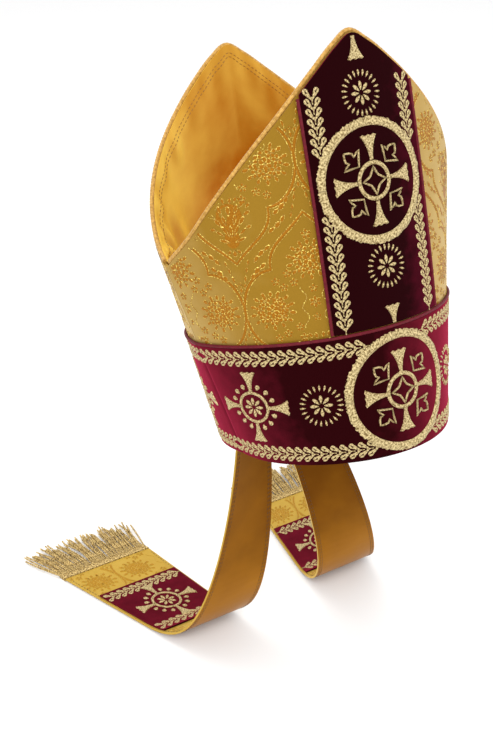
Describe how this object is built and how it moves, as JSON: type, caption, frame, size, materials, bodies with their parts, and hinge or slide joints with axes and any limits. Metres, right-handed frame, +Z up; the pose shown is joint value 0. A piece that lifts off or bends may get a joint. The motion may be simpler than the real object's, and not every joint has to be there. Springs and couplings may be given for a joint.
{
  "type": "bishop mitre",
  "caption": "Tall folding liturgical hat: two pointed brocade panels, a velvet band and titulus, a satin valley between the horns, and fringed lappets behind.",
  "frame": {"origin": "centre of the head opening, in the plane of the rim, with the mitre leaning back 15 degrees as worn", "axes": "+Z up as worn, -Y to the front, +X to the wearer's left"},
  "size_m": [0.3638, 0.372, 0.5594],
  "materials": {
    "gold_brocade": "old gold satin brocade with a raised ogee and flower pattern",
    "gold_satin": "smooth amber gold satin",
    "burgundy_velvet": "short pile velvet",
    "gold_bullion": "twisted metallic thread"
  },
  "bodies": {
    "root": {"front_panel": "gold_brocade", "back_panel": "gold_brocade", "lining": "gold_satin", "band": "burgundy_velvet", "band_piping": "burgundy_velvet", "front_titulus": "burgundy_velvet", "back_titulus": "burgundy_velvet", "front_titulus_piping_left": "burgundy_velvet", "front_titulus_piping_right": "burgundy_velvet", "back_titulus_piping_left": "burgundy_velvet", "back_titulus_piping_right": "burgundy_velvet", "front_edge_piping": "gold_satin", "back_edge_piping": "gold_satin", "lappet_left": "gold_brocade", "lappet_right": "gold_brocade", "lappet_patch_left": "burgundy_velvet", "lappet_patch_right": "burgundy_velvet", "fringe_left": "gold_bullion", "fringe_right": "gold_bullion"}
  },
  "joints": []
}
